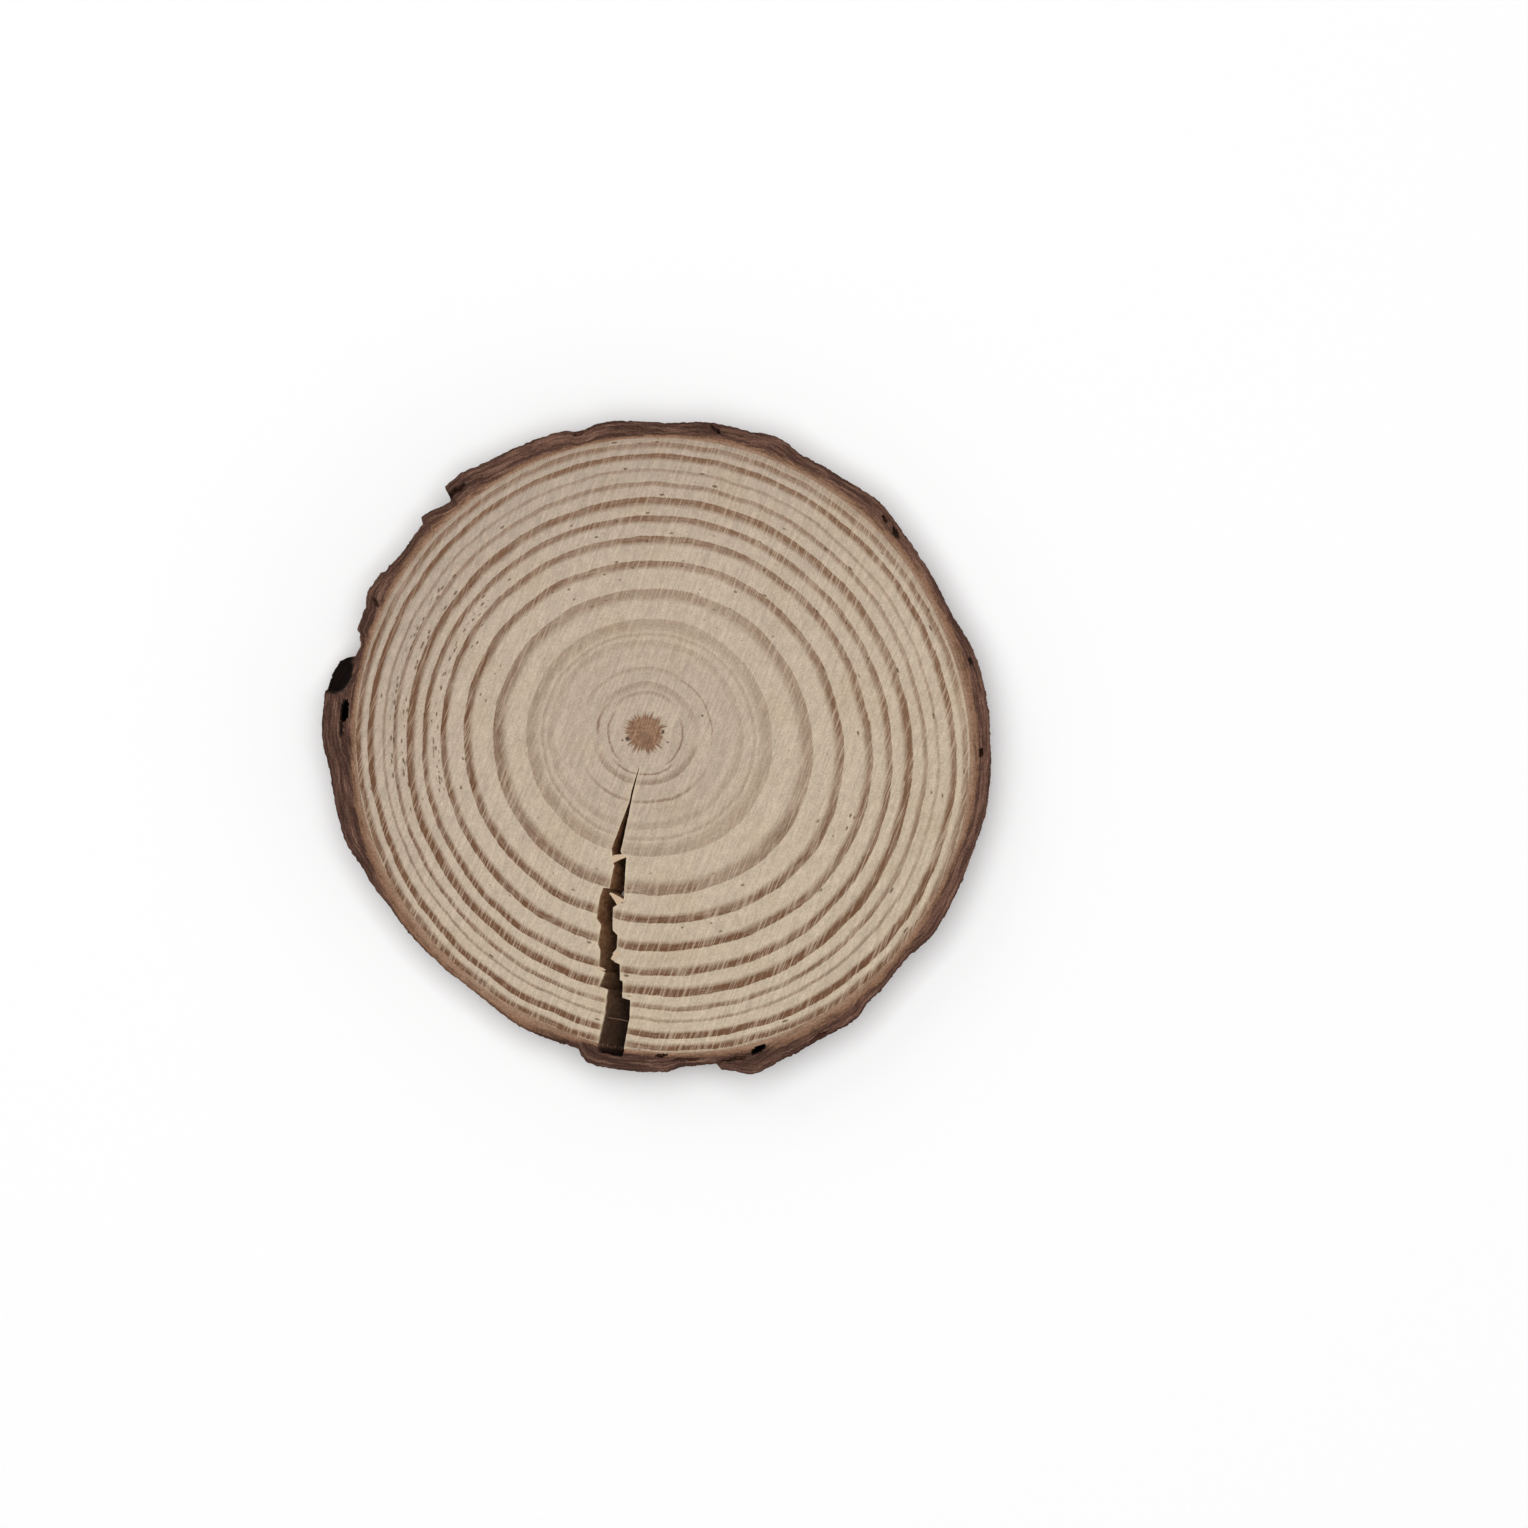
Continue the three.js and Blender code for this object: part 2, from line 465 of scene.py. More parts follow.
# %% Growth group
def growth_group():
    tree, given, result = new_group("growth", {"Place": None}, ("Ring", "Angle"))
    x, y, _ = separated(given["Place"])
    distance = vector_maths("LENGTH", combined(x, y))
    angle = maths("ARCTAN2", y, x)

    def push(rows):
        total = 0.0
        for waves, share, turn in rows:
            phase = maths("MULTIPLY_ADD", angle, float(waves), math.radians(turn))
            total = maths("MULTIPLY_ADD", maths("COSINE", phase), share, total)
        return total

    years = push(RING_WAVES)
    first = maths("DIVIDE", distance, plus(years, 1.0))
    heart = ramp(first, 0.0, ROUND_HEART)
    young = times(heart, ramp(first, *YOUNG_FADE, 1.0, 0.0))
    late = ramp(first, *LATE_RISE)
    total = maths("MULTIPLY_ADD", heart, years, 1.0)
    total = maths("MULTIPLY_ADD", young, push(YOUNG_WAVES), total)
    total = maths("MULTIPLY_ADD", late, push(LATE_WAVES), total)
    fill(result["Ring"], maths("DIVIDE", distance, total))
    fill(result["Angle"], angle)
    return tree


growth = growth_group()
print(f"growth group: {len(growth.nodes)} nodes")

# %% [markdown]
# ## Latewood bands
#
# The pale part of a ring grows in spring. The dark line grows in late summer: it comes
# on softly and ends sharply, because winter stops it. `latewood_band` draws one such
# line. Each row of `LATEWOOD` is one year's line: where its sharp outer edge lies, how
# wide and how dark it is, and how it leans, as a stem grows more on one side each year.
#
# Near the pith a young tree also lays down false rings, when a summer turns dry and then
# wet again. They are thin, faint and run only part of the way around, so each row of
# `FALSE_RINGS` also says which way it faces and how many degrees it reaches either side.

# %% Latewood group and the years
LATEWOOD = (  # edge, width, darkness, how far it leans out, and which way in degrees
    (12.4, 1.6, 0.06, 0.2, 40), (14.5, 1.4, 0.2, 0.2, 160), (15.9, 0.7, 0.26, 0.2, -46),
    (16.7, 0.5, 0.22, 0.2, -46), (18.15, 2.3, 0.36, 0.2, -46),
    (23.46, 2.4, 0.66, 0.45, -50), (27.9, 1.65, 0.9, 0.15, -23), (31.78, 1.5, 0.92, 0.18, -15),
    (34.85, 1.3, 0.94, 0.22, -90), (37.61, 1.65, 1.05, 0.25, -63), (39.74, 0.9, 0.72, 0.16, -67),
    (41.5, 0.6, 0.5, 0.12, -60), (43.86, 1.25, 1.15, 0.16, -52), (45.65, 1.2, 0.88, 0.14, -66),
    (47.6, 2.8, 0.42, 0.0, 0),
)
FALSE_RINGS = (  # edge, width, darkness, facing, reach
    (5.7, 0.4, 0.7, 185, 50), (5.65, 0.35, 0.65, -18, 50), (6.35, 0.4, 0.75, -95, 55),
    (6.3, 0.7, 0.4, 90, 60), (7.3, 0.55, 0.8, 160, 26), (7.9, 1.2, 0.5, -85, 95),
    (7.8, 1.3, 0.36, 85, 90), (9.9, 0.35, 0.6, 25, 40), (10.6, 0.6, 0.5, -90, 70),
    (10.2, 0.8, 0.25, 110, 70),
)
SOFT_START = 0.62  # the share of a line's width over which it comes on
SHARP_END = (-0.06, 0.1)  # where it stops, as distances past its edge


def latewood_group():
    inputs = {"Ring": 0.0, "Edge": 20.0, "Width": 1.0, "Darkness": 1.0}
    tree, given, result = new_group("latewood_band", inputs, ("Mask",))
    start = maths("SUBTRACT", given["Edge"], given["Width"])
    full = maths("MULTIPLY_ADD", given["Width"], SOFT_START, start)
    rise = ramp(given["Ring"], start, full)
    past = maths("SUBTRACT", given["Ring"], given["Edge"])
    fall = ramp(past, *SHARP_END, 1.0, 0.0)
    fill(result["Mask"], times(times(rise, fall), given["Darkness"]))
    return tree


latewood_band = latewood_group()
print(f"{len(LATEWOOD)} bands out to {LATEWOOD[-1][0]} mm")

# %% [markdown]
# ## Saw marks
#
# A band saw leaves fine straight scratches, all in one direction. They show best where
# they cross the dark latewood, as thin pale streaks. A noise that is stretched many times
# along one direction draws them.

# %% Saw mark group
SAW_DIRECTION = math.radians(69)


def saw_group():
    outputs = ("Streaks", "Grain", "Height")
    tree, given, result = new_group("saw_marks", {"Place": None}, outputs)
    turned = mapped(given["Place"], turn=-SAW_DIRECTION)

    def stretched(scale, waves, detail, roughness=0.5):
        return cloud(mapped(turned, scale=scale), waves, detail, roughness)

    scratches = stretched((0.045, 1.0, 0.1), 3.4, 3.0, 0.75)
    dashes = stretched((0.3, 1.0, 0.3), 2.2, 3.0, 0.75)
    broad = stretched((0.02, 1.0, 0.1), 0.9, 1.0)
    fill(result["Streaks"], ramp(scratches, 0.49, 0.62))
    grain = maths("MULTIPLY_ADD", scratches, 0.5, times(dashes, 0.5))
    fill(result["Grain"], grain)
    fill(result["Height"], plus(dashes, times(broad, 0.6)))
    return tree


saw_marks = saw_group()
print(f"saw marks run {math.degrees(SAW_DIRECTION):.0f} degrees from the right")

# %% [markdown]
# ## Sawn end grain
#
# The end grain is the main face of the slice. Its colour is built in layers: pale
# earlywood with slow drifts in tone, the latewood bands, the brown star of the pith,
# strings of tiny resin specks, and the saw marks over everything. The bands wander a
# little and change in darkness around the stem, which keeps them from looking drawn.

# %% Sawn end grain material
EARLYWOOD = linear(197, 179, 158)
EARLYWOOD_WARM = linear(200, 182, 159)
EARLYWOOD_GREY = linear(180, 162, 145)
EARLYWOOD_STAIN = linear(190, 167, 140)
LATEWOOD_TONE = linear(112, 76, 50)
LATEWOOD_GREY = linear(134, 101, 76)
PITH_DARK = linear(122, 86, 62)
PITH_PALE = linear(158, 120, 92)
PITH_RAYS = linear(102, 67, 46)
PITH_MIDDLE = linear(112, 78, 56)
# Painted shade for tiny pits by the pith.
PIT_SHADE = linear(46, 28, 20)
PITS = (  # x, y, radius
    (-2.6, -0.9, 0.32), (2.7, 0.2, 0.26), (-3.4, -1.1, 0.16), (3.4, -1.4, 0.16), (8.6, 2.6, 0.18),
)
RESIN_TONE = linear(92, 62, 40)
RESIN_RINGS = (32.5, 37.9, 39.8)
RESIN_FACING = 170  # degrees
SCRATCH_TONE = linear(208, 189, 166)
# Painted highlight along the crack's edges on the sawn face.
CRACK_EDGE_HIGHLIGHT = linear(216, 196, 166)
UP_LEFT = (-0.6, 0.8)
UP_RIGHT = (0.5, 0.86)


def latewood_lines(ring, angle):
    """How dark the latewood is at a ring and an angle, from both tables of lines."""
    lines = 0.0
    for edge, width, darkness, lean, facing in LATEWOOD:
        toward = cosine_to(angle, facing)
        leaning = maths("MULTIPLY_ADD", toward, -lean, ring)
        band = use_group(latewood_band, Ring=leaning, Edge=edge, Width=width, Darkness=darkness)
        lines = maths("MAXIMUM", lines, band["Mask"])
    for edge, width, darkness, facing, reach in FALSE_RINGS:
        band = use_group(latewood_band, Ring=ring, Edge=edge, Width=width, Darkness=darkness)
        toward = cosine_to(angle, facing)
        end, full = math.cos(math.radians(reach)), math.cos(math.radians(0.4 * reach))
        arc = ramp(toward, end, full)
        lines = maths("MAXIMUM", lines, times(band["Mask"], arc))
    return lines


def end_grain_colour(place):
    """The colour of cut wood, the latewood mask that relief uses, and the growth there."""
    spot = use_group(growth, Place=place)
    drift = maths("MULTIPLY_ADD", cloud(place, 0.16, 1.0), 0.7, -0.35)
    ripple = maths("MULTIPLY_ADD", cloud(place, 1.1, 3.0), 0.32, -0.16)
    ring = plus(spot["Ring"], plus(drift, ripple))
    bands = latewood_lines(ring, spot["Angle"])
    # Within a band the cells lie in fine rows along the ring.
    around = times(spot["Angle"], 9.0)
    rows = cloud(combined(times(ring, 3.2), around), 1.0, 3.0, 0.7)
    bands = times(bands, ramp(rows, 0.3, 0.65, 1.15, 0.8))
    # Up and to the right the latewood is paler and greyer, down and to the left it is darker.
    far_side = ramp(reach_toward(place, *UP_RIGHT), -42.0, 40.0)
    patches = cloud(place, 0.12, 3.0, 0.6)
    patchy = ramp(patches, 0.3, 0.65, 0.84, 1.15)
    strength = times(ramp(far_side, 0.0, 1.0, 1.1, 0.9), patchy)
    bands = maths("MULTIPLY", bands, strength, clamp=True)

    # Earlywood: warm below, greyer up and to the left, and greyer again towards the bark.
    left_up = reach_toward(place, *UP_LEFT)
    outer = ramp(spot["Ring"], 26.0, 44.0, 0.2, 0.85)
    grey = times(ramp(left_up, -10.0, 45.0), outer)
    heart = ramp(spot["Ring"], 19.0, 12.0, 0.0, 0.42)
    tone = blend(ramp(left_up, 5.0, -40.0), EARLYWOOD, EARLYWOOD_WARM)
    tone = blend(maths("MAXIMUM", grey, heart), tone, EARLYWOOD_GREY)
    stain = cloud(place, 0.11, 3.0, 0.6)
    tone = blend(ramp(stain, 0.48, 0.72, 0.0, 0.4), tone, EARLYWOOD_STAIN)
    mottle = cloud(place, 0.6, 5.0, 0.7)
    tone = shaded(tone, ramp(mottle, 0.32, 0.68, 0.93, 1.05))
    dark = blend(ramp(far_side, 0.35, 1.0, 0.0, 0.7), LATEWOOD_TONE, LATEWOOD_GREY)
    return blend(bands, tone, dark), bands, spot


def dot(place, x, y, radius):
    """1 inside a small round spot and 0 outside it."""
    away = vector_maths("DISTANCE", mapped(place, scale=(1, 1, 0)), (x, y, 0.0))
    return ramp(away, 0.6 * radius, 1.3 * radius, 1.0, 0.0)


def pith_star(place, spot, tone):
    """A brown heart a few millimetres across, with thin rays, and painted shade for a few tiny
    pits.
    """
    cosine, sine = maths("COSINE", spot["Angle"]), maths("SINE", spot["Angle"])
    facing = combined(cosine, sine)
    reach = ramp(cloud(facing, 7.5, 3.0, 0.9), 0.38, 0.68, 2.45, 3.6)
    star = ramp(maths("SUBTRACT", spot["Ring"], reach), -0.45, 0.3, 0.95, 0.0)
    grain = cloud(place, 1.9, 3.0, 0.75)
    brown = blend(ramp(grain, 0.35, 0.65), PITH_DARK, PITH_PALE)
    rays = ramp(cloud(facing, 15.0, 2.0, 0.8), 0.46, 0.6)
    rays = times(rays, ramp(spot["Ring"], 1.2, 2.6, 0.0, 0.85))
    brown = blend(rays, brown, PITH_RAYS)
    middle = dot(place, 0.1, -0.9, 1.1)
    brown = blend(times(middle, 0.7), brown, PITH_MIDDLE)
    tone = blend(star, tone, brown)
    # Painted shade: the tiny pits are dark spots, with no hole in the mesh.
    for x, y, radius in PITS:
        tone = blend(times(dot(place, x, y, radius), 0.85), tone, PIT_SHADE)
    return tone


def resin_specks(spot, tone):
    """Strings of dark dashes along three rings, nearly all on the left."""
    around = times(spot["Angle"], 34.0)
    cells = cell(combined(times(spot["Ring"], 2.3), around), "F1")
    dashes = ramp(cells["Distance"], 0.26, 0.5, 1.0, 0.0)
    pick = separated(cells["Color"])
    strings = 0.0
    for ring in RESIN_RINGS:
        off = maths("ABSOLUTE", maths("SUBTRACT", spot["Ring"], ring))
        strings = maths("MAXIMUM", strings, ramp(off, 0.25, 0.7, 1.0, 0.0))
    left = ramp(cosine_to(spot["Angle"], RESIN_FACING), 0.82, 0.96)
    chosen = maths("GREATER_THAN", pick[0], ramp(left, 0.0, 1.0, 0.97, 0.4))
    rare = maths("GREATER_THAN", pick[1], 0.985)
    scattered = times(rare, ramp(spot["Ring"], 12.0, 30.0))
    mask = times(dashes, maths("MAXIMUM", times(chosen, strings), scattered))
    return blend(times(mask, 0.8), tone, RESIN_TONE)


def sawn_wood_material():
    material, tree, shader = new_material("sawn_pine")
    place = millimetres(tree)
    tone, bands, spot = end_grain_colour(place)
    tone = pith_star(place, spot, tone)
    tone = resin_specks(spot, tone)
    saw = use_group(saw_marks, Place=place)
    # The scratches are pale in the latewood, and fainter up and to the left.
    scratched = times(saw["Streaks"], ramp(bands, 0.1, 0.8, 0.12, 0.44))
    fainter = ramp(reach_toward(place, *UP_LEFT), 5.0, 40.0, 1.0, 0.5)
    tone = blend(times(scratched, fainter), tone, SCRATCH_TONE)
    tone = shaded(tone, ramp(saw["Grain"], 0.36, 0.64, 0.86, 1.1))
    pores = cloud(place, 3.2, 3.0, 0.8)
    tone = shaded(tone, ramp(pores, 0.32, 0.66, 1.08, 0.87))
    # Painted highlight along the crack's edges.
    tone = blend(times(painted(tree, "near_crack"), 0.55), tone, CRACK_EDGE_HIGHLIGHT)
    fill(shader["Base Color"], tone)
    fill(shader["Roughness"], ramp(bands, 0.0, 1.0, 0.86, 0.72))
    shader["Specular IOR Level"].default_value = 0.25
    height = plus(saw["Height"], times(pores, 0.8))
    bumped(shader, height, distance=0.07, strength=0.9)
    return material


sawn_pine = sawn_wood_material()
print(f"sawn pine: {len(sawn_pine.node_tree.nodes)} nodes")

# %% [markdown]
# ## Split wood
#
# Inside the crack the wood has torn along its fibres, so the walls are rough, streaked
# up and down and browner than a sawn face. Deeper down and towards the bark their colour
# is darkened as painted shade, and just under the top edge it is painted paler, as a
# painted highlight where the edge catches the light.

# %% Split wood material
SPLIT_DARK = linear(146, 104, 72)
SPLIT_PALE = linear(194, 150, 110)
# Painted shade for the walls deep in the crack.
SPLIT_DEPTH_SHADE = linear(88, 62, 46)
# Painted shade for the walls towards the crack's mouth.
SPLIT_MOUTH_SHADE = linear(54, 40, 36)
# Painted highlight just under the crack's top edge.
SPLIT_EDGE_HIGHLIGHT = linear(208, 184, 156)


def split_wood_material():
    material, tree, shader = new_material("split_pine")
    place = millimetres(tree)
    depth = painted(tree, "depth")
    fibres = cloud(mapped(place, scale=(1.0, 1.0, 0.12)), 1.6, 4.0, 0.65)
    tone = blend(ramp(fibres, 0.3, 0.7), SPLIT_DARK, SPLIT_PALE)
    # Painted shade: deeper down the walls are darker.
    tone = blend(ramp(depth, 0.15, 0.9, 0.0, 0.5), tone, SPLIT_DEPTH_SHADE)
    # Painted shade: towards the bark, at the crack's mouth, the walls are darker.
    toward_mouth = ramp(separated(place)[1], -26.0, -44.0, 0.0, 0.8)
    tone = blend(toward_mouth, tone, SPLIT_MOUTH_SHADE)
    # Painted highlight: just under the top edge the walls are paler.
    tone = blend(ramp(depth, 0.06, 0.0, 0.0, 0.85), tone, SPLIT_EDGE_HIGHLIGHT)
    fill(shader["Base Color"], tone)
    shader["Roughness"].default_value = 0.9
    shader["Specular IOR Level"].default_value = 0.15
    bumped(shader, fibres, distance=0.2)
    return material


split_pine = split_wood_material()
print(f"split pine: {len(split_pine.node_tree.nodes)} nodes")

# %% [markdown]
# ## The drying crack
#
# As a slice dries, its rings shrink more around than across, until the wood splits along
# a radius. The crack jumps sideways wherever it crosses from one fibre to the next. It
# leans, because the grain of a pine twists slowly around the stem, and it is widest on
# the face that dried first.
#
# Each row of `CRACK` is a station below the pith, with the place of the left and of the
# right edge. The function gives the place of a wall at any depth, with its torn relief.

# %% Crack stations
CRACK = (
    (5.0, -0.9, -0.8), (8.8, -2.05, -1.75), (10.5, -2.4, -2.1), (12.3, -3.1, -2.45),
    (17.8, -5.15, -3.65), (18.1, -5.1, -3.6), (18.6, -5.05, -2.8), (19.5, -4.95, -2.85),
    (20.2, -4.7, -2.9), (23.0, -5.3, -3.05), (23.6, -5.4, -3.1), (23.75, -6.4, -3.1),
    (24.9, -6.85, -3.15), (25.5, -7.0, -3.9), (26.2, -7.1, -4.8), (28.4, -7.4, -4.85),
    (29.1, -6.7, -4.85), (29.5, -6.7, -4.8), (30.1, -6.85, -4.1), (32.0, -7.15, -4.2),
    (32.8, -6.75, -4.8), (34.0, -6.85, -4.6), (34.2, -6.85, -3.75), (35.6, -7.05, -3.7),
    (35.8, -6.0, -3.7), (36.4, -6.2, -3.7), (36.6, -6.3, -3.25), (38.0, -6.9, -3.3),
    (38.2, -5.55, -3.35), (38.95, -5.65, -3.35), (39.1, -5.7, -2.15), (41.6, -5.95, -2.25),
    (46.0, -7.0, -3.05), (47.6, -6.9, -3.2),
)
CRACK_LEAN = 3.0
CRACK_UNDERSIDE = 0.25  # share of the gap that is left on the underside
CRACK_ANGLE = math.radians(-100)  # the direction that the crack runs in
CRACK_REACH = 24.0  # degrees either side in which the mesh bends to meet the crack
TORN_DEPTH = 0.22  # how far the torn fibres stand in or out


def crack_sides(below):
    """The left and right edge of the crack at a distance below the pith."""
    if below <= CRACK[0][0]:
        middle = 0.5 * (CRACK[0][1] + CRACK[0][2]) * below / CRACK[0][0]
        return middle, middle
    for (start, *first), (end, *last) in zip(CRACK, CRACK[1:]):
        if below <= end:
            share = (below - start) / (end - start)
            return mix(first[0], last[0], share), mix(first[1], last[1], share)
    return CRACK[-1][1:]


def crack_drift(below, depth):
    """How far the twisted grain carries a fibre sideways by the time it is this deep."""
    return CRACK_LEAN * below / WOOD_RADIUS * depth / THICKNESS


def crack_wall(below, side, depth):
    """Sideways place of one wall: side is -1 for the left wall and 1 for the right."""
    left, right = crack_sides(below)
    half = 0.5 * (right - left)
    width = mix(1.0, CRACK_UNDERSIDE, depth / THICKNESS)
    torn = wobble(Vector((below, side * 9.0, depth * 0.16)), 0.9)
    torn += 0.6 * wobble(Vector((below, side * 5.0, depth * 0.4)), 0.35)
    torn *= TORN_DEPTH * min(1.0, half / 0.5) * mix(0.25, 1.0, smooth(0.0, 2.5, depth))
    return 0.5 * (left + right) + crack_drift(below, depth) + side * half * width + torn


print(f"crack: {CRACK[0][0]} to {CRACK[-1][0]} mm below the pith")

# %% [markdown]
# ## The disc of wood
#
# The disc could be a plain extruded outline with the crack cut out by a boolean. A
# rolled grid gives cleaner faces: its rows follow the growth rings, its columns run out
# from the pith, and its two ends meet at the crack. Where the crack is closed the ends
# are merged, and where it is open they become its walls. The sheet is extruded down, and
# cutting its upright edges into layers gives the walls enough points for torn fibres.

# %% Shape the disc
CAMBIUM = 45.9  # where the wood ends and the bark begins
EXTRA_WOOD = (  # degrees, and how much further out the wood ends there
    (-180, 0.0), (-110, 0.0), (-95, 0.3), (-72, 0.4), (-50, 0.0), (-32, -0.3), (-15, 0.1),
    (12, 0.4), (40, 0.9), (60, 0.8), (92, 0.5), (152, 0.4), (170, 0.1), (180, 0.0),
)
HEART_RINGS = [0.0, 0.7, 1.4, 2.1, 2.8, 3.5, 4.2]  # rings nearer the pith than the crack
HEART_END = 4.9
RING_STEP = 0.42
FINE_TURN = 0.6  # degrees between two columns near the crack
COARSE_TURN = 1.6  # and everywhere else
DISC_LAYERS = 14
SOFT_WOOD_HOLLOW = 0.05  # how far spring wood sinks below the hard latewood
# The painted highlight along the crack's edges reaches this far.
EDGE_HIGHLIGHT_WIDTH = 0.3  # how far the paleness beside the crack reaches
OPEN_CRACK = 0.02  # a gap wider than this counts as open


@functools.lru_cache(maxsize=None)
def hardness(ring):
    """How hard the wood of a ring is: 0 in spring wood and about 1 in dark latewood."""
    hardest = 0.0
    for edge, width, darkness, *_ in LATEWOOD:
        rise = smooth(edge - width, edge - 0.4 * width, ring)
        hardest = max(hardest, darkness * rise * (1.0 - smooth(edge, edge + 0.2, ring)))
    return hardest


def ring_at(below):
    """The ring that passes the crack at a distance below the pith, found by halving."""
    low, high = 0.0, 60.0
    while high - low > 0.001:
        ring = 0.5 * (low + high)
        if -on_ring(ring_radius(ring, CRACK_ANGLE), CRACK_ANGLE).y < below:
            low = ring
        else:
            high = ring
    return low


def disc_place(turn, ring, depth):
    """The place of a vertex, from its degrees past the crack, its ring and its depth."""
    angle = CRACK_ANGLE + math.radians(turn)
    home = on_ring(ring_radius(ring, CRACK_ANGLE), CRACK_ANGLE)
    for side, away in ((1, turn), (-1, 360.0 - turn)):
        if away < CRACK_REACH and ring > 0.0:
            wall = math.atan2(home.y, crack_wall(-home.y, side, depth))
            angle += (wall - CRACK_ANGLE) * (1.0 - away / CRACK_REACH)
    extra = from_rows(EXTRA_WOOD, angle) * smooth(CAMBIUM - 1.5, CAMBIUM, ring)
    place = on_ring(ring_radius(ring, angle) + extra, angle)
    hollow = SOFT_WOOD_HOLLOW * (1.0 - hardness(ring))
    place.z = THICKNESS - min(max(depth, hollow), THICKNESS - hollow)
    return place


def wood_disc():
    fine = spaced((0.0, CRACK_REACH), FINE_TURN)
    middle = spaced((CRACK_REACH, 360.0 - CRACK_REACH), COARSE_TURN)
    turns = fine + middle[1:-1] + [360.0 - turn for turn in reversed(fine)]
    band_rings = [row[0] for row in LATEWOOD if row[0] < CAMBIUM]
    crack_rings = [ring_at(row[0]) for row in CRACK]
    stops = {HEART_END, CAMBIUM, *band_rings, *crack_rings}
    stops = sorted(stop for stop in stops if stop <= CAMBIUM)
    rings = HEART_RINGS + spaced(stops, RING_STEP)
    disc, turn_of, ring_of = marked_sheet(turns, rings)
    for vert in disc.verts:
        vert.co = disc_place(vert[turn_of], vert[ring_of], 0.0)
        vert.co.z = 0.0
    bmesh.ops.remove_doubles(disc, verts=disc.verts[:], dist=SAME_PLACE)

    grown = bmesh.ops.extrude_face_region(disc, geom=disc.faces[:], use_keep_orig=True)["geom"]
    lowered = [part for part in grown if isinstance(part, bmesh.types.BMVert)]
    bmesh.ops.translate(disc, verts=lowered, vec=(0, 0, -THICKNESS))
    upright = [e for e in disc.edges if abs(e.verts[0].co.z - e.verts[1].co.z) > 0.1]
    bmesh.ops.subdivide_edges(disc, edges=upright, cuts=DISC_LAYERS - 1, use_grid_fill=True)

    near_crack = disc.verts.layers.float.new("near_crack")
    depth_of = disc.verts.layers.float.new("depth")
    for vert in disc.verts:
        turn, ring, depth = vert[turn_of], vert[ring_of], -vert.co.z
        vert.co = disc_place(turn, ring, depth)
        # The split wood's painted shade and painted highlight read this depth.
        vert[depth_of] = depth / THICKNESS
        left, right = crack_sides(-vert.co.y)
        if vert.co.y < 0 and min(turn, 360.0 - turn) < CRACK_REACH and right - left > OPEN_CRACK:
            # How near the crack's edge a vertex is, for the painted highlight along it.
            edge = crack_wall(-vert.co.y, 1 if turn < 180 else -1, depth)
            vert[near_crack] = math.exp(-abs(vert.co.x - edge) / EDGE_HIGHLIGHT_WIDTH)

    for face in disc.faces:
        wall = all(min(vert[turn_of], 360.0 - vert[turn_of]) < 0.01 for vert in face.verts)
        face.material_index = 1 if wall else 0
    return finished(disc, "wood_disc", (sawn_pine, split_pine))


wood = wood_disc()

# %% [markdown]
# ## Splinters across the crack
#
# Wood does not split cleanly: some bundles of fibre hold on to both sides, and others
# stand out as splinters. Each is a thin bar that is cut into short lengths, tapered and
# bent a little. Its root is sunk into a wall, so it grows out of the wood.

# %% Splinters
SPLINTERS = (  # root x and y, tip x and y, width at the root and at the tip, top, height
    ((-5.6, -19.15), (-2.6, -18.25), 1.3, 0.45, 0.1, 3.0),
    ((-3.3, -25.8), (-5.3, -24.0), 1.6, 0.25, 0.15, 5.0),
    ((-7.2, -35.2), (-6.0, -35.6), 0.8, 0.15, 0.15, 1.8),
    ((-4.0, -32.9), (-4.95, -34.0), 1.1, 0.5, -0.03, 1.5),
    ((-7.0, -42.5), (-2.3, -43.3), 0.13, 0.1, 1.1, 0.3),
)
SPLINTER_CUTS = 9
SPLINTER_BEND = 0.12


def splinters():
    shape = bmesh.new()
    depth_of = shape.verts.layers.float.new("depth")
    bar_of = shape.verts.layers.float.new("bar")
    for bar, (root, tip, root_width, tip_width, top, tall) in enumerate(SPLINTERS, 1):
        corners = bmesh.ops.create_cube(shape, size=1.0)["verts"]
        for vert in corners:
            vert[bar_of] = bar
        edges = {edge for vert in corners for edge in vert.link_edges}
        lengthwise = [e for e in edges if abs(e.verts[0].co.x - e.verts[1].co.x) > 0.5]
        bmesh.ops.subdivide_edges(shape, edges=lengthwise, cuts=SPLINTER_CUTS, use_grid_fill=True)
        along = Vector(tip) - Vector(root)
        across = Vector((-along.y, along.x)).normalized()
        for vert in (vert for vert in shape.verts if round(vert[bar_of]) == bar):
            share, side, level = vert.co.x + 0.5, vert.co.y, 0.5 - vert.co.z
            depth = top + tall * level * mix(1.0, 0.6, share)
            bend = SPLINTER_BEND * wobble(Vector((share * 3.0, tall, root[1])), 1.0)
            bend += 0.04 * wobble(vert.co + Vector(root).to_3d(), 0.2)
            offset = side * mix(root_width, tip_width, share) + bend
            middle = Vector(root) + along * share + across * offset
            vert.co = (middle.x + crack_drift(-middle.y, depth), middle.y, THICKNESS - depth)
            # The split wood's painted shade and painted highlight read this depth, kept small on
            # splinters.
            vert[depth_of] = 0.15 * level + 0.045 * max(0.0, top)
    return finished(shape, "crack_splinters", (split_pine,))


crack_fibres = splinters()

# %% [markdown]
# ## The shape of the bark
#
# Pine bark is built of thin scales. Old layers crack into plates with furrows between
# them, and the outermost scales flake away, which leaves low ragged steps. `bark_relief`
# adds those three up. At the sawn top the outline is known, so the relief is measured
# from its own value there and takes over a few millimetres down.

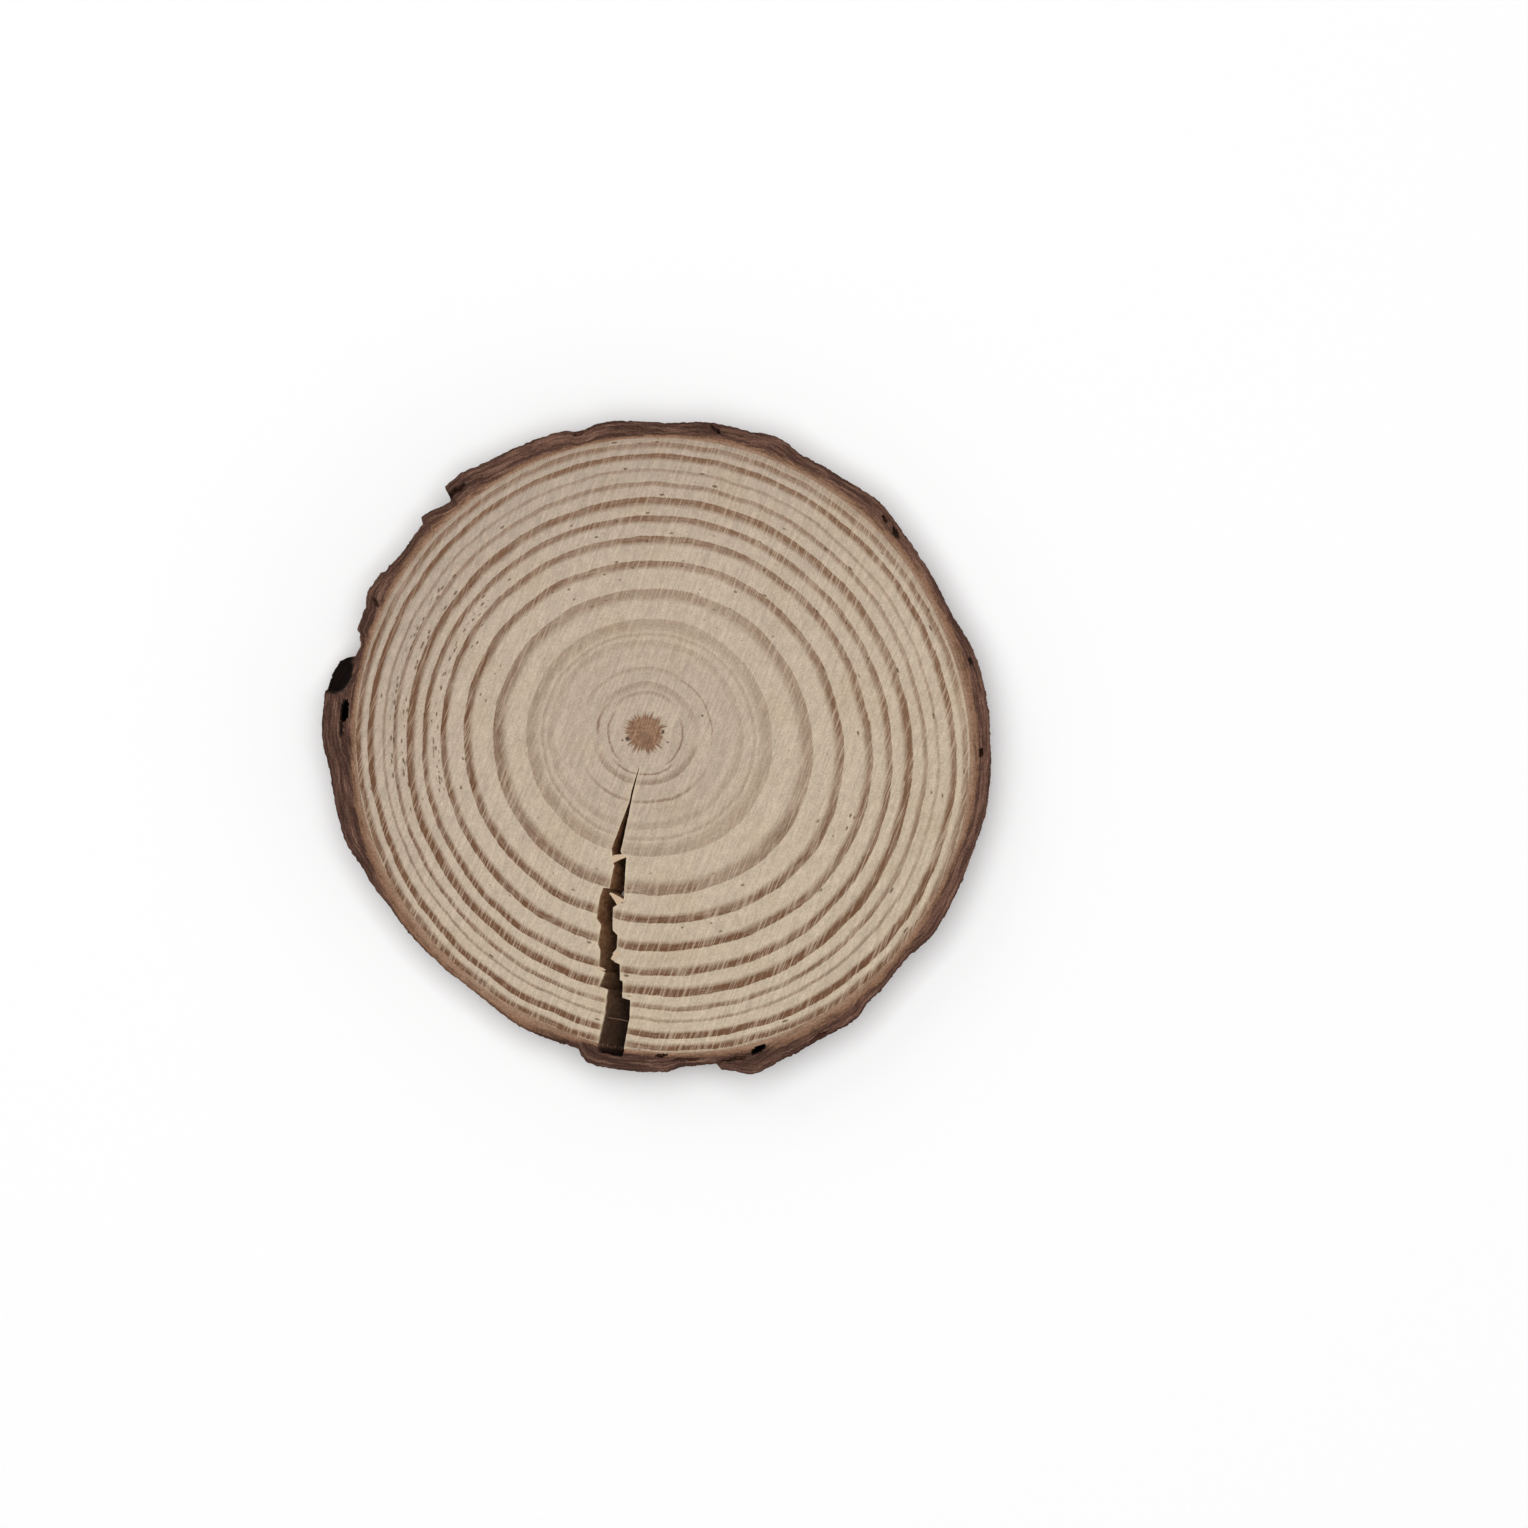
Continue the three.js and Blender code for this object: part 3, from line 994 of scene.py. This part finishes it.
# %% Bark relief
PLATE_WIDTH = 8.5
PLATE_HEIGHT = 15.0
FURROW_DEPTH = 1.1
PLATE_STEP = 0.7  # how far one plate may lie below another
SCALE_THICKNESS = 0.32
SCALE_LEVELS = (-0.32, -0.05, 0.2, 0.42)
STEM_RADIUS = 50.0
BARK_START = CAMBIUM - 0.25  # the bark's inner wall, just inside the wood's edge
THINNEST_BARK = 0.65  # left over the wood, however deep a furrow is
OUTLINE_HOLD = 3.5  # how deep below the top the known outline still shapes the bark


def stem_place(angle, height):
    """A point on an even cylinder, so that noise read there has no seam."""
    return Vector((STEM_RADIUS * math.cos(angle), STEM_RADIUS * math.sin(angle), height))


def bark_relief(angle, height):
    """How far one spot of the outer side stands out. Nearly all of it lies below 0."""
    spot = stem_place(angle, height)
    warp = Vector((wobble(spot, 6.0, 3.0), wobble(spot, 6.0, 7.0), 2.2 * wobble(spot, 5.0, 11.0)))
    x, y, z = spot + warp * 1.6
    distances, points = noise.voronoi(Vector((x / PLATE_WIDTH, y / PLATE_WIDTH, z / PLATE_HEIGHT)))
    furrow = 1.0 - smooth(0.0, 0.16, distances[1] - distances[0])
    plate = 0.5 + 0.5 * noise.noise(points[0] * 7.3)
    flaked = noise.fractal(spot / 4.2 + warp * 0.08, 0.6, 2.0, 4)
    scales = sum(smooth(level, level + 0.05, flaked) for level in SCALE_LEVELS)
    grain = 0.07 * wobble(spot, 0.9) + 0.05 * wobble(spot, 0.4)
    return -FURROW_DEPTH * furrow - PLATE_STEP * plate - SCALE_THICKNESS * scales + grain


@functools.lru_cache(maxsize=None)
def top_relief(angle):
    """The relief at the sawn top, which the measured outline already holds."""
    return bark_relief(angle, THICKNESS)


def skin_radius(angle, height):
    """How far from the pith the outer side of the bark is."""
    deep = 1.0 - height / THICKNESS
    spot = stem_place(angle, height)
    # Lower down the plates have moved a few degrees around the stem.
    wander = 3.0 * wobble(spot, 9.0, 2.0) + 0.5 * wobble(spot, 1.8, 5.0)
    hold = math.exp(-(THICKNESS - height) / OUTLINE_HOLD)
    relief = bark_relief(angle, height) - hold * top_relief(angle)
    thickness = bark_thickness(angle + math.radians(wander) * deep)
    thickness += relief * min(1.0, thickness / 3.0)
    thickness = min(thickness, bark_thickness(angle) + 0.1 - 0.3 * deep)
    wood_edge = ring_radius(CAMBIUM, angle) + from_rows(EXTRA_WOOD, angle)
    radius = max(trunk_radius(angle) + thickness, wood_edge + THINNEST_BARK)
    return radius + 0.14 * wobble(spot, 0.7, 9.0)


turns = [math.radians(turn) for turn in range(0, 360, 3)]
samples = [bark_relief(turn, height) for turn in turns for height in (1, 4, 7)]
mean = sum(samples) / len(samples)
print(f"bark relief: {min(samples):.2f} to {max(samples):.2f} mm, mean {mean:.2f}")

# %% [markdown]
# ## Torn places in the bark
#
# Where scales have lifted or broken, dark pockets open between the layers. They are
# pressed down into the sawn top of the bark: each is an oval with a depth, and their
# darkness is painted shade, set by that depth. Ragged edges come from nudging the place
# with noise before it is tested. The last and largest one is where the top of a lifted
# flake has broken away.

# %% Pockets
POCKETS = (  # x, y, length, width, degrees turned, depth
    (-45.1, 3.3, 3.2, 1.1, 82, 6.0), (-45.6, 1.0, 3.4, 0.5, 88, 1.6),
    (17.0, -47.5, 2.4, 0.9, 32, 6.0), (13.4, -48.9, 5.0, 0.4, 12, 1.2),
    (37.6, 30.0, 1.8, 0.6, 125, 2.0), (50.4, -3.0, 1.2, 0.6, 80, 1.8),
    (48.8, 10.8, 1.0, 0.5, 100, 1.4), (2.5, -48.3, 1.6, 0.45, 4, 1.4),
    (-10.0, 44.9, 1.3, 0.6, 20, 1.6), (26.0, -45.6, 2.4, 0.45, 32, 1.2),
    (-40.4, 19.6, 1.5, 0.4, 120, 1.2), (36.0, 32.0, 1.4, 0.4, 135, 1.4),
    (6.0, -49.0, 4.0, 0.35, 3, 0.9), (10.6, 45.6, 1.8, 0.35, 140, 1.5),
    (-28.4, 36.3, 3.2, 0.7, 35, 2.0), (-46.2, 9.6, 7.6, 4.6, 78, 5.0),
)
RAGGED_EDGE = 0.22
ROUGH_FLOOR = 0.25


def pocket_depth(place):
    """How deep the top of the bark is pressed down at a place, 0 outside the pockets."""
    x = place.x + RAGGED_EDGE * wobble(place, 1.1, 4.0)
    y = place.y + RAGGED_EDGE * wobble(place, 1.1, 8.0)
    deepest = 0.0
    for middle_x, middle_y, length, width, turn, depth in POCKETS:
        along = Vector((math.cos(math.radians(turn)), math.sin(math.radians(turn))))
        offset = Vector((x - middle_x, y - middle_y))
        reach = (offset.dot(along) * 2 / length) ** 2 + (offset.cross(along) * 2 / width) ** 2
        if reach < 1.0:
            pressed = depth * (1.0 - reach) ** 0.3 + ROUGH_FLOOR * wobble(place, 0.8)
            deepest = max(deepest, pressed)
    return deepest


print(f"{len(POCKETS)} pockets")

# %% [markdown]
# ## Bark colours
#
# On the sawn face, living inner bark is a pinkish tan. Outside it lie the dead layers,
# red-brown and dark, with thin lines where one year's cork meets the next. The outer
# side is weathered: grey-brown on the scales, with painted shade along their edges,
# redder where one has flaked off and nearly black in the furrows, which is partly the
# furrows' own darker bark and partly painted shade. Pockets and the crack's bite get
# painted shade by their depth. The mesh carries the numbers that this needs: how far a
# point is from the wood and from the skin, and how deep it lies in the relief or in a
# pocket.

# %% Bark material
INNER_BARK = (  # degrees, millimetres of pale inner bark
    (-180, 0.9), (-150, 1.7), (-135, 2.2), (-112, 2.3), (-100, 0.7), (-85, 0.7), (-75, 1.1),
    (-62, 2.0), (-42, 1.3), (-25, 0.9), (-8, 1.4), (12, 1.6), (24, 1.3), (36, 1.1), (50, 1.1),
    (70, 1.0), (88, 0.55), (102, 0.55), (118, 0.8), (136, 1.2), (152, 0.9), (180, 0.9),
)
LIVING_INNER = linear(166, 135, 112)
LIVING_OUTER = linear(138, 103, 80)
DEAD_DARK = linear(94, 67, 56)
DEAD_PALE = linear(116, 84, 71)
DEAD_DARKER_SIDE = linear(72, 50, 43)
CORK_DARK = linear(60, 42, 36)
CORK_PALE = linear(156, 122, 102)
SKIN_EDGE = linear(74, 51, 42)
WEATHERED_BROWN = linear(118, 86, 68)
WEATHERED_GREY = linear(112, 94, 82)
FLAKED_RED = linear(112, 68, 48)
# Partly the furrows' own darker bark and partly painted shade in them.
FURROW_TONE_AND_SHADE = linear(58, 38, 30)
STREAK_TONE = linear(78, 54, 43)
# Painted shade in the bark's pockets and the crack's bite.
POCKET_SHADE = linear(46, 33, 29)
POCKET_DEEP_SHADE = linear(17, 11, 10)


def sawn_bark(place, inner_share, from_skin):
    """The colour of the bark's sawn face, and its dark cork layers, which relief uses."""
    ragged = maths("MULTIPLY_ADD", cloud(place, 0.6, 4.0, 0.65), 0.9, -0.45)
    out = plus(inner_share, ragged)
    tone = blend(ramp(out, 0.0, 0.8), LIVING_INNER, LIVING_OUTER)
    slow = cloud(place, 0.05, 1.0)
    dead = blend(ramp(slow, 0.35, 0.65), DEAD_DARK, DEAD_PALE)
    tone = blend(ramp(out, 0.78, 1.15), tone, dead)
    # On the left and at the front the dead bark is darker.
    x, y, _ = separated(place)
    left = ramp(x, -30.0, -46.0, 0.0, 0.55)
    front = ramp(y, -39.0, -46.0, 0.0, 0.55)
    darker_side = times(maths("MAXIMUM", left, front), ramp(out, 0.6, 1.3))
    tone = blend(darker_side, tone, DEAD_DARKER_SIDE)
    # Layers of cork: noise that changes fast outwards and slowly around.
    facing = vector_maths("NORMALIZE", mapped(place, scale=(1, 1, 0)))
    around_x, around_y, _ = separated(mapped(facing, scale=(7.0, 7.0, 1.0)))
    layer_place = combined(around_x, around_y, times(from_skin, 2.2))
    cork = cloud(layer_place, 1.0, 4.0, 0.75)
    in_dead = ramp(out, 0.3, 1.1, 0.4, 1.0)
    dark_layers = times(ramp(cork, 0.5, 0.6), in_dead)
    tone = blend(times(dark_layers, 0.65), tone, CORK_DARK)
    pale_layers = times(ramp(cork, 0.46, 0.36), in_dead)
    tone = blend(times(pale_layers, 0.5), tone, CORK_PALE)
    return blend(ramp(from_skin, 0.4, 0.0, 0.0, 0.6), tone, SKIN_EDGE), dark_layers


def weathered_bark(place, sunk):
    """The colour of the bark's outer side, with painted shade along its scale edges and partly in
    its furrows, and how high its thin scales stand.
    """
    blotch = cloud(place, 0.22, 3.0, 0.6)
    tone = blend(ramp(blotch, 0.35, 0.65), WEATHERED_BROWN, WEATHERED_GREY)
    tone = blend(ramp(sunk, 0.25, 0.75), tone, FLAKED_RED)
    # Nearly black in the furrows: partly their own darker bark, partly painted shade.
    tone = blend(ramp(sunk, 0.7, 1.0), tone, FURROW_TONE_AND_SHADE)
    # Thin scales, each with its own tone and height, with painted shade along the edges between
    # them.
    centred = vector_maths("SUBTRACT", noise_node(place, 0.7).outputs["Color"], (0.5, 0.5, 0.5))
    shake = vector_maths("MULTIPLY", centred, (2.6, 2.6, 2.6))
    scaled = mapped(vector_maths("ADD", place, shake), scale=(0.42, 0.42, 0.8))
    shade = separated(cell(scaled, "F1")["Color"])[0]
    edge = cell(scaled, "DISTANCE_TO_EDGE")["Distance"]
    tone = shaded(tone, ramp(shade, 0.0, 1.0, 0.72, 1.3, smooth_step=False))
    # Painted shade along the edges between scales.
    tone = shaded(tone, ramp(edge, 0.0, 0.09, 0.5, 1.0))
    return tone, times(shade, ramp(edge, 0.0, 0.08))


def bark_material():
    material, tree, shader = new_material("pine_bark")
    place = millimetres(tree)
    inner_share, from_skin = painted(tree, "inner_share"), painted(tree, "from_skin")
    sawn, dark_layers = sawn_bark(place, inner_share, from_skin)
    outside, scale_height = weathered_bark(place, painted(tree, "sunk"))
    streaks = cloud(mapped(place, scale=(1.0, 1.0, 0.3)), 1.7, 4.0, 0.7)
    outside = blend(ramp(streaks, 0.4, 0.7, 0.0, 0.5), outside, STREAK_TONE)

    normal = tree.nodes.new("ShaderNodeNewGeometry").outputs["True Normal"]
    level = maths("ABSOLUTE", separated(normal)[2])
    tone = blend(ramp(level, 0.55, 0.8), outside, sawn)
    fine = cloud(place, 3.0, 4.0, 0.7)
    tone = shaded(tone, ramp(fine, 0.3, 0.7, 1.2, 0.74))
    # Painted shade: pockets and the crack's bite are darker by their depth.
    pocket = painted(tree, "pocket")
    tone = blend(ramp(pocket, 0.02, 0.35, 0.0, 0.85), tone, POCKET_SHADE)
    tone = blend(ramp(pocket, 0.2, 0.38, 0.0, 0.9), tone, POCKET_DEEP_SHADE)
    fill(shader["Base Color"], tone)
    fill(shader["Roughness"], ramp(fine, 0.3, 0.7, 0.8, 0.95))
    shader["Specular IOR Level"].default_value = 0.08
    height = maths("MULTIPLY_ADD", dark_layers, -0.4, fine)
    scales = ramp(level, 0.8, 0.55, 0.0, 1.4)
    height = maths("MULTIPLY_ADD", scale_height, scales, height)
    bumped(shader, plus(height, times(streaks, 0.8)), distance=0.18)
    return material


pine_bark = bark_material()
print(f"pine bark: {len(pine_bark.node_tree.nodes)} nodes")

# %% [markdown]
# ## The rim of bark
#
# The bark is a second rolled grid. This time the rows walk around its cross-section: up
# the inner wall, out over the sawn top, down the rough outer side and back in along the
# underside. The grid's last row meets its first and its last column meets its first, so
# merging the doubles closes it into a ring.

# %% Shape the bark
BARK_TURN = 0.28  # degrees between two columns
SECTION_STEPS = (12, 20, 30, 6)  # inner wall, sawn top, outer side, underside
NOTCH_DEPTH = 1.4  # how far the crack bites into the bark
NOTCH_END = (9.0, 7.0)  # millimetres down, between which the bite fades out
NOTCH_REACH = 15.0  # how far to either side of the pith it is looked for
# Painted shade for the bark in the crack's bite.
MOUTH_SHADE = 3.0  # the bark in the bite is as dark as a pocket this deep
ROUGH_TOP = 0.16  # how far crumbs have come away from the sawn bark
TOP_SINK = 0.02  # the bark's faces lie this much inside the measured top
DEEPEST_RELIEF = 2.4


def mouth_notch(angle, height):
    """How far the crack bites into the inner side of the bark."""
    depth = THICKNESS - height
    below = ring_radius(CAMBIUM, CRACK_ANGLE)
    x = ring_radius(CAMBIUM, angle) * math.cos(angle)
    if abs(x) > NOTCH_REACH or math.sin(angle) > 0.0:
        return 0.0
    inside = min(x - crack_wall(below, -1, depth), crack_wall(below, 1, depth) - x)
    bite = NOTCH_DEPTH + 0.15 * wobble(Vector((x, 0, height)), 1.0)
    return bite * smooth(-0.1, 0.15, inside) * smooth(*NOTCH_END, depth)


def bark_place(angle, walk):
    """The place of a vertex, how far it is from the wood and from the skin, and the depth that
    sets its painted shade, which in a pocket is how far it is pressed down and in the crack's bite
    is a fixed depth.
    """
    part, share = divmod(walk % 4.0, 1.0)
    height = (THICKNESS * share, THICKNESS, THICKNESS * (1.0 - share), 0.0)[int(part)]
    outer = skin_radius(angle, height)
    notch = mouth_notch(angle, height)
    wood_edge = ring_radius(BARK_START, angle) + from_rows(EXTRA_WOOD, angle)
    inner = wood_edge + notch
    across = (0.0, share, 1.0, 1.0 - share)[int(part)]
    radius = mix(inner, outer, across)
    pressed = pocket_depth(on_ring(radius, angle)) if part in (1, 2) else 0.0
    if part == 2 and pressed > THICKNESS - height:
        height = THICKNESS - pressed
        radius = skin_radius(angle, height)
    elif part == 1:
        rough = ROUGH_TOP * max(0.0, wobble(on_ring(radius, angle), 0.7))
        height -= max(pressed, rough * smooth(0.6, 1.6, radius - inner), TOP_SINK)
    else:
        # Painted shade for the bark in the crack's bite, written as a pocket depth.
        pressed = MOUTH_SHADE if notch > 0.3 and part in (0, 3) else 0.0
    place = on_ring(radius, angle)
    place.z = height
    return place, radius - wood_edge, outer - radius, pressed


def bark_rim():
    turns = [math.radians(turn) for turn in spaced((-180.0, 180.0), BARK_TURN)]
    walks = []
    for part, steps in enumerate(SECTION_STEPS):
        walks += [part + i / steps for i in range(steps)]
    walks.append(4.0)
    rim, angle_of, walk_of = marked_sheet(turns, walks)
    names = ("inner_share", "from_skin", "pocket", "sunk")
    marks = {name: rim.verts.layers.float.new(name) for name in names}
    for vert in rim.verts:
        angle, walk = vert[angle_of], vert[walk_of]
        vert.co, from_wood, vert[marks["from_skin"]], pressed = bark_place(angle, walk)
        vert[marks["inner_share"]] = from_wood / from_rows(INNER_BARK, angle)
        # The pocket value sets how much painted shade the bark gets.
        vert[marks["pocket"]] = pressed / THICKNESS
        vert[marks["sunk"]] = min(1.0, -bark_relief(angle, vert.co.z) / DEEPEST_RELIEF)
    bmesh.ops.remove_doubles(rim, verts=rim.verts[:], dist=SAME_PLACE)
    bmesh.ops.dissolve_degenerate(rim, edges=rim.edges[:], dist=0.5 * SAME_PLACE)
    return finished(rim, "bark_rim", (pine_bark,), sharp_degrees=50.0)


bark = bark_rim()

# %% [markdown]
# ## Attach the pieces
#
# Each piece rides on the slice's one body, and the measured solid is hidden, so that the
# pieces stand in for it.

# %% Finish
for piece, slot in ((wood, "pine_wood"), (crack_fibres, "pine_wood"), (bark, "pine_bark")):
    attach(piece, "root")
    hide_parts("wood_slice")
